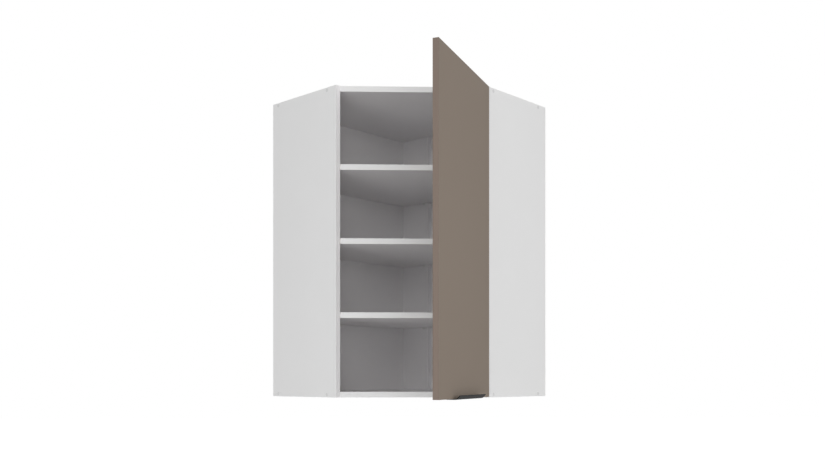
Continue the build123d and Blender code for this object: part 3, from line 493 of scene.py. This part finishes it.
def hex_recess(grow, brim):
    """A hexagon prism, sunk in the head's top."""
    radius, depth = grow.given("Recess Radius"), grow.given("Recess Depth")
    prism = grow.cone(6, radius, radius, grow.reckon("MULTIPLY", depth, 2.0))
    return grow.lifted(prism, "Mesh", grow.reckon("SUBTRACT", brim, depth))


def cross_recess(grow, brim):
    """Two crossed bars, each as long as the recess is wide, sunk in the head's top."""
    radius, depth = grow.given("Recess Radius"), grow.given("Recess Depth")
    bars = grow.node("GeometryNodeMeshBoolean", operation="UNION")
    for along, across in (("X", "Y"), ("Y", "X")):
        size = grow.node("ShaderNodeCombineXYZ")
        grow.feed(grow.reckon("MULTIPLY", radius, 2.0), size, along)
        grow.feed(grow.reckon("MULTIPLY", radius, BAR_SHARE), size, across)
        grow.feed(grow.reckon("MULTIPLY", depth, 2.0), size, "Z")
        bar = grow.node("GeometryNodeMeshCube")
        grow.link(size, "Vector", bar, "Size")
        grow.link(bar, "Mesh", bars, "Mesh 2")
    return grow.lifted(bars, "Mesh", brim)


def thread_ridge(grow, core, straight):
    """A ridge wound round the lower part of the shank."""
    wound = grow.reckon("SUBTRACT", straight, grow.given("Plain Length"))
    coil = grow.node("GeometryNodeCurveSpiral")
    coil.inputs["Resolution"].default_value = TURN_STEPS
    grow.feed(grow.reckon("DIVIDE", wound, grow.given("Pitch")), coil, "Rotations")
    grow.feed(core, coil, "Start Radius")
    grow.feed(core, coil, "End Radius")
    grow.feed(wound, coil, "Height")
    ridge = grow.node("GeometryNodeCurvePrimitiveCircle")
    ridge.inputs["Resolution"].default_value = RIDGE_SIDES
    grow.feed(grow.reckon("MULTIPLY", grow.given("Pitch"), RIDGE_SHARE), ridge, "Radius")
    thread = grow.node("GeometryNodeCurveToMesh")
    thread.inputs["Fill Caps"].default_value = True
    grow.link(coil, "Curve", thread, "Curve")
    grow.link(ridge, "Curve", thread, "Profile Curve")
    return grow.lifted(thread, "Mesh", grow.reckon("MULTIPLY", straight, -1.0))


def screw_tree(name, make_recess):
    """A threaded screw on each point, its head towards +z before it is turned."""
    grow = Growth(name, SCREW_LENGTHS)
    core, long, brim = grow.given("Core Radius"), grow.given("Length"), grow.given("Head Height")
    head = grow.cone(HEAD_SIDES, grow.given("Head Top"), grow.given("Head Bottom"), brim)
    cut = grow.node("GeometryNodeMeshBoolean", operation="DIFFERENCE")
    grow.link(head, "Mesh", cut, "Mesh 1")
    grow.link(make_recess(grow, brim), "Geometry", cut, "Mesh 2")
    point = grow.reckon("MULTIPLY", core, POINT_SHARE)
    straight = grow.reckon("SUBTRACT", long, point)
    shaft = grow.cone(SHANK_SIDES, core, core, straight)
    shaft = grow.lifted(shaft, "Mesh", grow.reckon("MULTIPLY", straight, -1.0))
    tip = grow.cone(SHANK_SIDES, core, 0.0, point)
    tip = grow.lifted(tip, "Mesh", grow.reckon("MULTIPLY", long, -1.0))
    thread = thread_ridge(grow, core, straight)
    whole = grow.node("GeometryNodeJoinGeometry")
    grow.link(cut, "Mesh", whole, "Geometry")
    for piece in (shaft, tip, thread):
        grow.link(piece, "Geometry", whole, "Geometry")
    return grow.finish(whole, "Geometry")


CAP_LENGTHS = ("Radius", "Rim", "Dome", "Peg Radius", "Peg Length")
CAP_SIDES = 48
CAP_RINGS = 8
DOME_POWER = 2.4        # how flat a cap's middle is: 2 is a plain bowl, more is flatter
PEG_SIDES = 20


def cap_tree():
    """A domed push-in cap on each point."""
    grow = Growth("Domed caps", CAP_LENGTHS)
    disc = grow.node("GeometryNodeMeshCylinder", fill_type="TRIANGLE_FAN")
    disc.inputs["Vertices"].default_value = CAP_SIDES
    disc.inputs["Fill Segments"].default_value = CAP_RINGS
    grow.feed(grow.given("Radius"), disc, "Radius")
    grow.feed(grow.given("Rim"), disc, "Depth")
    raised = grow.lifted(disc, "Mesh", grow.reckon("MULTIPLY", grow.given("Rim"), 0.5))
    place = grow.node("GeometryNodeInputPosition")
    parts = grow.node("ShaderNodeSeparateXYZ")
    grow.link(place, "Position", parts, "Vector")
    flat = grow.node("ShaderNodeCombineXYZ")
    grow.link(parts, "X", flat, "X")
    grow.link(parts, "Y", flat, "Y")
    reach = grow.node("ShaderNodeVectorMath", operation="LENGTH")
    grow.link(flat, "Vector", reach, 0)
    share = grow.reckon("DIVIDE", (reach, "Value"), grow.given("Radius"))
    fall = grow.reckon("SUBTRACT", 1.0, grow.reckon("POWER", share, DOME_POWER))
    rise = grow.reckon("MULTIPLY", fall, grow.given("Dome"))
    lift = grow.node("ShaderNodeCombineXYZ")
    grow.feed(rise, lift, "Z")
    domed = grow.node("GeometryNodeSetPosition")
    grow.link(raised, "Geometry", domed, "Geometry")
    grow.link(disc, "Top", domed, "Selection")
    grow.link(lift, "Vector", domed, "Offset")
    peg_radius, peg_length = grow.given("Peg Radius"), grow.given("Peg Length")
    peg = grow.cone(PEG_SIDES, peg_radius, peg_radius, peg_length)
    peg = grow.lifted(peg, "Mesh", grow.reckon("MULTIPLY", peg_length, -1.0))
    whole = grow.node("GeometryNodeJoinGeometry")
    grow.link(domed, "Geometry", whole, "Geometry")
    grow.link(peg, "Geometry", whole, "Geometry")
    return grow.finish(whole, "Geometry")


def grown(name, tree, groups, values, material):
    """Grow a tree on groups of (points, direction) and return one plain mesh object."""
    made = []
    for index, (points, direction) in enumerate(groups):
        mesh = bpy.data.meshes.new(f"{name}_places_{index}")
        mesh.from_pydata([tuple(point) for point in points], [], [])
        holder = bpy.data.objects.new(f"{name}_places_{index}", mesh)
        bpy.context.collection.objects.link(holder)
        modifier = holder.modifiers.new(tree.name, "NODES")
        modifier.node_group = tree
        turn = UP.rotation_difference(direction).to_euler()
        given = {"Turn": turn, "Material": material, **values}
        for item in tree.interface.items_tree:
            if item.in_out == "INPUT" and item.name in given:
                modifier[item.identifier] = given[item.name]
        bpy.context.view_layer.update()
        plain = bpy.data.meshes.new_from_object(
            holder.evaluated_get(bpy.context.evaluated_depsgraph_get()))
        bpy.data.objects.remove(holder)
        piece = bpy.data.objects.new(f"{name}_{index}", plain)
        bpy.context.collection.objects.link(piece)
        made.append(piece)
    whole = made[0]
    if len(made) > 1:
        with bpy.context.temp_override(active_object=whole, selected_editable_objects=made,
                                       selected_objects=made, object=whole):
            bpy.ops.object.join()
    whole.name = name
    return whole


# ------------------------------------------------------------------ places
def end_screws(side):
    """Joining screws of an end panel at its outer face, and the way they face."""
    ups = (BOARD / 2, HEIGHT - BOARD / 2)
    if side == "right":
        return [wall_point(LEG, row, up) for row in SCREW_ROWS[side] for up in ups], ALONG_RIGHT
    return [wall_point(row, LEG, up) for row in SCREW_ROWS[side] for up in ups], ALONG_LEFT


def level_screws(up, direction):
    """Screws into the corner board from above or below."""
    middle = BACK_FRONT + CORNER_BOARD_WIDTH / 2
    reach = CORNER_BOARD_WIDTH / 4
    depth = BACK_FRONT + BOARD / 2
    return [wall_point(middle + way * reach, depth, up) for way in (-1, 1)], direction


def joining_places():
    """All joining screws, in groups that face one way."""
    return [end_screws("right"), end_screws("left"), level_screws(HEIGHT, UP), level_screws(0, -UP)]


def screw_tops(node, facing):
    """The top middle of each screw in a CAD node, along the way that its head faces."""
    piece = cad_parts[node]
    groups = []
    for vertex in piece.data.vertices:
        place = piece.matrix_world @ vertex.co
        home = next((group for group in groups if (group[0] - place).length < SCREW_REACH * MM), None)
        if home is None:
            groups.append([place])
        else:
            home.append(place)
    tops = []
    for group in groups:
        high = max(place.dot(facing) for place in group)
        rim = [place for place in group if high - place.dot(facing) < RIM_BAND * MM]
        tops.append(sum(rim, Vector()) / len(rim))
    return tops


# ------------------------------------------------------------------ operators
class CabinetOperator:
    """What the operators below share."""
    bl_options = {"REGISTER", "UNDO"}

    @property
    def colours(self):
        return bpy.context.scene.cabinet_colours

    @property
    def sizes(self):
        return bpy.context.scene.cabinet_sizes


class CABINET_OT_boards(CabinetOperator, bpy.types.Operator):
    """Face the end panels, level boards and corner board"""
    bl_idname = "cabinet.boards"
    bl_label = "Boards"

    def execute(self, context):
        paint = self.colours
        for name, face, nodes, facing in (
                ("Board facing right wall", paint.board, ("right_end_panel",), ALONG_RIGHT),
                ("Board facing left wall", paint.board, ("left_end_panel",), ALONG_LEFT),
                ("Corner board", paint.back, ("corner_board",), ALONG_LEFT),
                ("Level board", paint.level, LEVEL_BOARDS, UP)):
            dress_all(nodes, board_material(name, face, paint.core, paint.core_chip, facing))
        for node, face in (("level_edge_bands", paint.front_band), ("upright_edge_bands", paint.side_band)):
            dress(node, faced_material(f"Band {node}", face, 0.4, (1, 1, 0.2), 0.01))
        return {"FINISHED"}


class CABINET_OT_backs(CabinetOperator, bpy.types.Operator):
    """Face the thin back panels"""
    bl_idname = "cabinet.backs"
    bl_label = "Back panels"

    def execute(self, context):
        paint = self.colours
        for node, facing in (("back_panel_right", ALONG_LEFT), ("back_panel_left", ALONG_RIGHT)):
            material = board_material(f"Back {node}", paint.back, paint.core, paint.core_chip, facing)
            dress(node, material)
        return {"FINISHED"}


class CABINET_OT_door(CabinetOperator, bpy.types.Operator):
    """Face the door and its edges"""
    bl_idname = "cabinet.door"
    bl_label = "Door"

    def execute(self, context):
        paint = self.colours
        dress("door_panel", faced_material("Door facing", paint.door, 0.62, (1, 1, 0.3), shine=0.08))
        dress_all(("door_side_bands", "door_end_bands"),
                  faced_material("Door edge band", paint.door_band, 0.6, (1, 1, 0.3), 0.01, 0.08))
        return {"FINISHED"}


class CABINET_OT_pull(CabinetOperator, bpy.types.Operator):
    """Coat the edge pull"""
    bl_idname = "cabinet.pull"
    bl_label = "Edge pull"

    def execute(self, context):
        dress("edge_pull", coated_material("Pull coating", self.colours.pull))
        return {"FINISHED"}


class CABINET_OT_hinges(CabinetOperator, bpy.types.Operator):
    """Plate the hinge parts"""
    bl_idname = "cabinet.hinges"
    bl_label = "Hinges"

    def execute(self, context):
        nickel = metal_material("Nickel plate", self.colours.nickel, 0.3, 700.0)
        dress_all(named("hinge_cup", "hinge_arm", "hinge_plate", "link"), nickel)
        return {"FINISHED"}


class CABINET_OT_fittings(CabinetOperator, bpy.types.Operator):
    """Finish the shelf pins, buffers, hangers and wall plates"""
    bl_idname = "cabinet.fittings"
    bl_label = "Small fittings"

    def execute(self, context):
        paint = self.colours
        dress_all(named("shelf_pins", "hanger_housing"),
                  plastic_material("White plastic", paint.plastic, 0.42))
        dress("door_buffers", plastic_material("Soft buffer", paint.buffer, 0.3, 0.35))
        dress_all(named("hanger_hook", "wall_plate", "screws"),
                  metal_material("Zinc plate", paint.zinc, 0.36, 500.0))
        return {"FINISHED"}


class CABINET_OT_caps(CabinetOperator, bpy.types.Operator):
    """Push a domed cap over each joining screw of the end panels"""
    bl_idname = "cabinet.caps"
    bl_label = "Screw caps"

    def execute(self, context):
        sizes = self.sizes
        values = {"Radius": sizes.cap_radius, "Rim": sizes.cap_rim, "Dome": sizes.cap_dome,
                  "Peg Radius": sizes.cap_peg_radius, "Peg Length": sizes.cap_peg_length}
        material = plastic_material("Cap plastic", self.colours.cap, 0.38)
        places = [end_screws("right"), end_screws("left")]
        caps = grown("caps_over_screws", cap_tree(), places, values, material)
        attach(caps, "carcass")
        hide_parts("screw_caps")
        return {"FINISHED"}


class CABINET_OT_joiners(CabinetOperator, bpy.types.Operator):
    """Drive the threaded joining screws"""
    bl_idname = "cabinet.joiners"
    bl_label = "Joining screws"

    def execute(self, context):
        sizes = self.sizes
        rise = sizes.joiner_rise
        groups = [([point - way * (sizes.joiner_sink + rise) for point in points], way)
                  for points, way in joining_places()]
        values = {"Core Radius": sizes.joiner_radius, "Length": sizes.joiner_length - rise,
                  "Plain Length": sizes.joiner_plain, "Pitch": sizes.joiner_pitch,
                  "Head Bottom": sizes.joiner_radius * NECK_SHARE, "Head Top": sizes.joiner_head,
                  "Head Height": rise, "Recess Radius": sizes.joiner_socket,
                  "Recess Depth": sizes.joiner_socket_depth}
        steel = metal_material("Screw zinc", self.colours.zinc, 0.34, 900.0)
        tree = screw_tree("Joining screws", hex_recess)
        screws = grown("threaded_joining_screws", tree, groups, values, steel)
        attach(screws, "carcass")
        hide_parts("joining_screws")
        return {"FINISHED"}


class CABINET_OT_wood_screws(CabinetOperator, bpy.types.Operator):
    """Drive the threaded wood screws of the hinges and the pull"""
    bl_idname = "cabinet.wood_screws"
    bl_label = "Wood screws"

    def execute(self, context):
        sizes = self.sizes
        rise = sizes.screw_rise
        values = {"Core Radius": sizes.screw_radius, "Length": sizes.screw_length,
                  "Plain Length": sizes.screw_plain, "Pitch": sizes.screw_pitch,
                  "Head Bottom": sizes.screw_head, "Head Top": sizes.screw_head * CROWN_SHARE,
                  "Head Height": rise, "Recess Radius": sizes.screw_recess,
                  "Recess Depth": rise * RECESS_SHARE}
        steel = metal_material("Wood screw zinc", self.colours.zinc, 0.34, 900.0)
        tree = screw_tree("Wood screws", cross_recess)
        sets = (("lower_hinge_cup_screws", "door", INTO_CABINET),
                ("upper_hinge_cup_screws", "door", INTO_CABINET),
                ("pull_screws", "door", INTO_CABINET),
                ("lower_hinge_plate_screws", "carcass", -ALONG_RIGHT),
                ("upper_hinge_plate_screws", "carcass", -ALONG_RIGHT))
        for node, body, facing in sets:
            places = [top - facing * rise for top in screw_tops(node, facing)]
            screws = grown(f"threaded_{node}", tree, [(places, facing)], values, steel)
            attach(screws, body)
            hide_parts(node)
        return {"FINISHED"}


class CABINET_OT_stage(CabinetOperator, bpy.types.Operator):
    """Set the floor, the surrounding light, the lamps and the camera"""
    bl_idname = "cabinet.stage"
    bl_label = "Studio"

    def execute(self, context):
        studio = context.scene.cabinet_studio
        make_floor(studio.floor_drop)
        make_world(studio.world_strength)
        for name, place, size, setting in LAMPS:
            make_lamp(name, place, size, getattr(studio, setting))
        make_camera(context.scene)
        context.scene.view_settings.view_transform = "Standard"
        return {"FINISHED"}


# ------------------------------------------------------------------ studio
WHITE = (1, 1, 1, 1)
FLOOR_HALF = 30.0       # metres from the floor's middle to its sides
FLOOR_TONE = 0.45
FLOOR_LIFT = 0.85       # added to the floor where it is seen, so that it reads as white

# Soft lamps: name, place and size in metres, and the setting that holds the power.
LAMPS = (
    ("Left lamp", (-1.0, -4.8, 1.2), 2.0, "left_power"),
    ("Middle lamp", (0.2, -4.8, 0.6), 1.4, "middle_power"),
    ("Inner lamp", (1.4, -4.6, 0.5), 1.6, "inner_power"),
    ("Right lamp", (3.6, -3.6, 1.0), 2.0, "right_power"),
    ("Low lamp", (0.2, -3.4, -1.3), 1.6, "low_power"),
    ("Low left lamp", (-1.4, -3.4, -1.2), 1.6, "low_left_power"),
    ("Top lamp", (0, -2.6, 3.6), 2.6, "top_power"),
    ("Left rear lamp", (-3.6, 3.0, 1.2), 2.6, "rear_power"),
    ("Right rear lamp", (3.6, 3.0, 1.2), 2.6, "rear_power"),
)
LAMP_AIM = Vector((0, -0.5, 0.45))

# The camera, fitted to the straight edges in the photograph.
CAMERA_PLACE = (-0.08714, -3.26870, 0.05831)
CAMERA_TURN = -1.913    # degrees round the upright axis
CAMERA_LENS = 40.0      # millimetres, as the sensor's width
CAMERA_SENSOR = 36.0
CAMERA_SHIFT = 0.17306  # upward, over the picture's width
CAMERA_REACH = 200.0    # metres


class Backdrop(Nodes):
    """The nodes of the floor's or the world's look."""

    def __init__(self, owner, output):
        owner.use_nodes = True
        super().__init__(owner.node_tree)
        self.output = self.node(output)

    def seen(self):
        """A node that gives 1 to the eye, to gloss and through glass, and 0 to other light."""
        path = self.node("ShaderNodeLightPath")
        first = self.node("ShaderNodeMath", operation="ADD")
        self.link(path, "Is Camera Ray", first, 0)
        self.link(path, "Is Glossy Ray", first, 1)
        whole = self.node("ShaderNodeMath", operation="ADD", use_clamp=True)
        self.link(first, "Value", whole, 0)
        self.link(path, "Is Transmission Ray", whole, 1)
        return whole


def make_floor(drop):
    """A wide pale floor under the cabinet, which keeps its shadow."""
    signs = ((-1, -1), (1, -1), (1, 1), (-1, 1))
    mesh = bpy.data.meshes.new("studio_floor")
    mesh.from_pydata([(x * FLOOR_HALF, y * FLOOR_HALF, -drop) for x, y in signs], [], [(0, 1, 2, 3)])
    floor = bpy.data.objects.new("studio_floor", mesh)
    bpy.context.collection.objects.link(floor)
    material = bpy.data.materials.new("Pale floor")
    look = Backdrop(material, "ShaderNodeOutputMaterial")
    paint = look.node("ShaderNodeBsdfDiffuse")
    paint.inputs["Color"].default_value = (FLOOR_TONE, FLOOR_TONE, FLOOR_TONE, 1)
    share = look.node("ShaderNodeMath", operation="MULTIPLY")
    share.inputs[1].default_value = FLOOR_LIFT
    look.link(look.seen(), "Value", share, 0)
    lift = look.node("ShaderNodeEmission")
    look.link(share, "Value", lift, "Strength")
    both = look.node("ShaderNodeAddShader")
    look.link(paint, "BSDF", both, 0)
    look.link(lift, "Emission", both, 1)
    look.link(both, "Shader", look.output, "Surface")
    mesh.materials.append(material)


def make_world(strength):
    """Even light all round, white where it is seen."""
    world = bpy.data.worlds.new("Studio")
    bpy.context.scene.world = world
    look = Backdrop(world, "ShaderNodeOutputWorld")
    even = look.node("ShaderNodeBackground")
    even.inputs["Color"].default_value = WHITE
    even.inputs["Strength"].default_value = strength
    white = look.node("ShaderNodeBackground")
    white.inputs["Color"].default_value = WHITE
    mix = look.node("ShaderNodeMixShader")
    look.link(look.seen(), "Value", mix, 0)
    look.link(even, "Background", mix, 1)
    look.link(white, "Background", mix, 2)
    look.link(mix, "Shader", look.output, "Surface")


def make_lamp(name, place, size, energy):
    """A large soft square lamp aimed at the cabinet's middle."""
    data = bpy.data.lights.new(name, "AREA")
    data.shape = "SQUARE"
    data.size = size
    data.energy = energy
    light = bpy.data.objects.new(name, data)
    light.location = place
    light.rotation_euler = (LAMP_AIM - Vector(place)).to_track_quat("-Z", "Y").to_euler()
    bpy.context.collection.objects.link(light)


def make_camera(scene):
    """A level camera in front of the cabinet, its picture shifted up."""
    data = bpy.data.cameras.new("Front camera")
    data.lens = CAMERA_LENS
    data.sensor_width = CAMERA_SENSOR
    data.sensor_fit = "HORIZONTAL"
    data.shift_y = CAMERA_SHIFT
    data.clip_end = CAMERA_REACH
    camera = bpy.data.objects.new("Front camera", data)
    camera.location = CAMERA_PLACE
    camera.rotation_euler = (math.radians(90), 0, math.radians(CAMERA_TURN))
    bpy.context.collection.objects.link(camera)
    scene.camera = camera


# ------------------------------------------------------------------ panel
STEPS = (CABINET_OT_boards, CABINET_OT_backs, CABINET_OT_door, CABINET_OT_pull, CABINET_OT_hinges,
         CABINET_OT_fittings, CABINET_OT_caps, CABINET_OT_joiners, CABINET_OT_wood_screws,
         CABINET_OT_stage)


class CABINET_PT_panel(bpy.types.Panel):
    """Lists the steps that dress the cabinet"""
    bl_idname = "CABINET_PT_panel"
    bl_label = "Corner Wall Cabinet"
    bl_space_type = "VIEW_3D"
    bl_region_type = "UI"
    bl_category = "Cabinet"

    def draw(self, context):
        for step in STEPS:
            self.layout.operator(step.bl_idname)
        for group in GROUPS:
            settings = getattr(context.scene, group)
            box = self.layout.box()
            for key in settings.bl_rna.properties.keys():
                if key not in ("rna_type", "name"):
                    box.prop(settings, key)


CLASSES = (CabinetColours, CabinetSizes, StudioSettings, *STEPS, CABINET_PT_panel)
GROUPS = {"cabinet_colours": CabinetColours, "cabinet_sizes": CabinetSizes,
          "cabinet_studio": StudioSettings}


def register():
    for item in CLASSES:
        bpy.utils.register_class(item)
    for name, group in GROUPS.items():
        setattr(bpy.types.Scene, name, bpy.props.PointerProperty(type=group))


def unregister():
    for name in GROUPS:
        delattr(bpy.types.Scene, name)
    for item in reversed(CLASSES):
        bpy.utils.unregister_class(item)


def main():
    register()
    for step in STEPS:
        group, name = step.bl_idname.split(".")
        getattr(getattr(bpy.ops, group), name)()


if __name__ == "__main__":
    main()
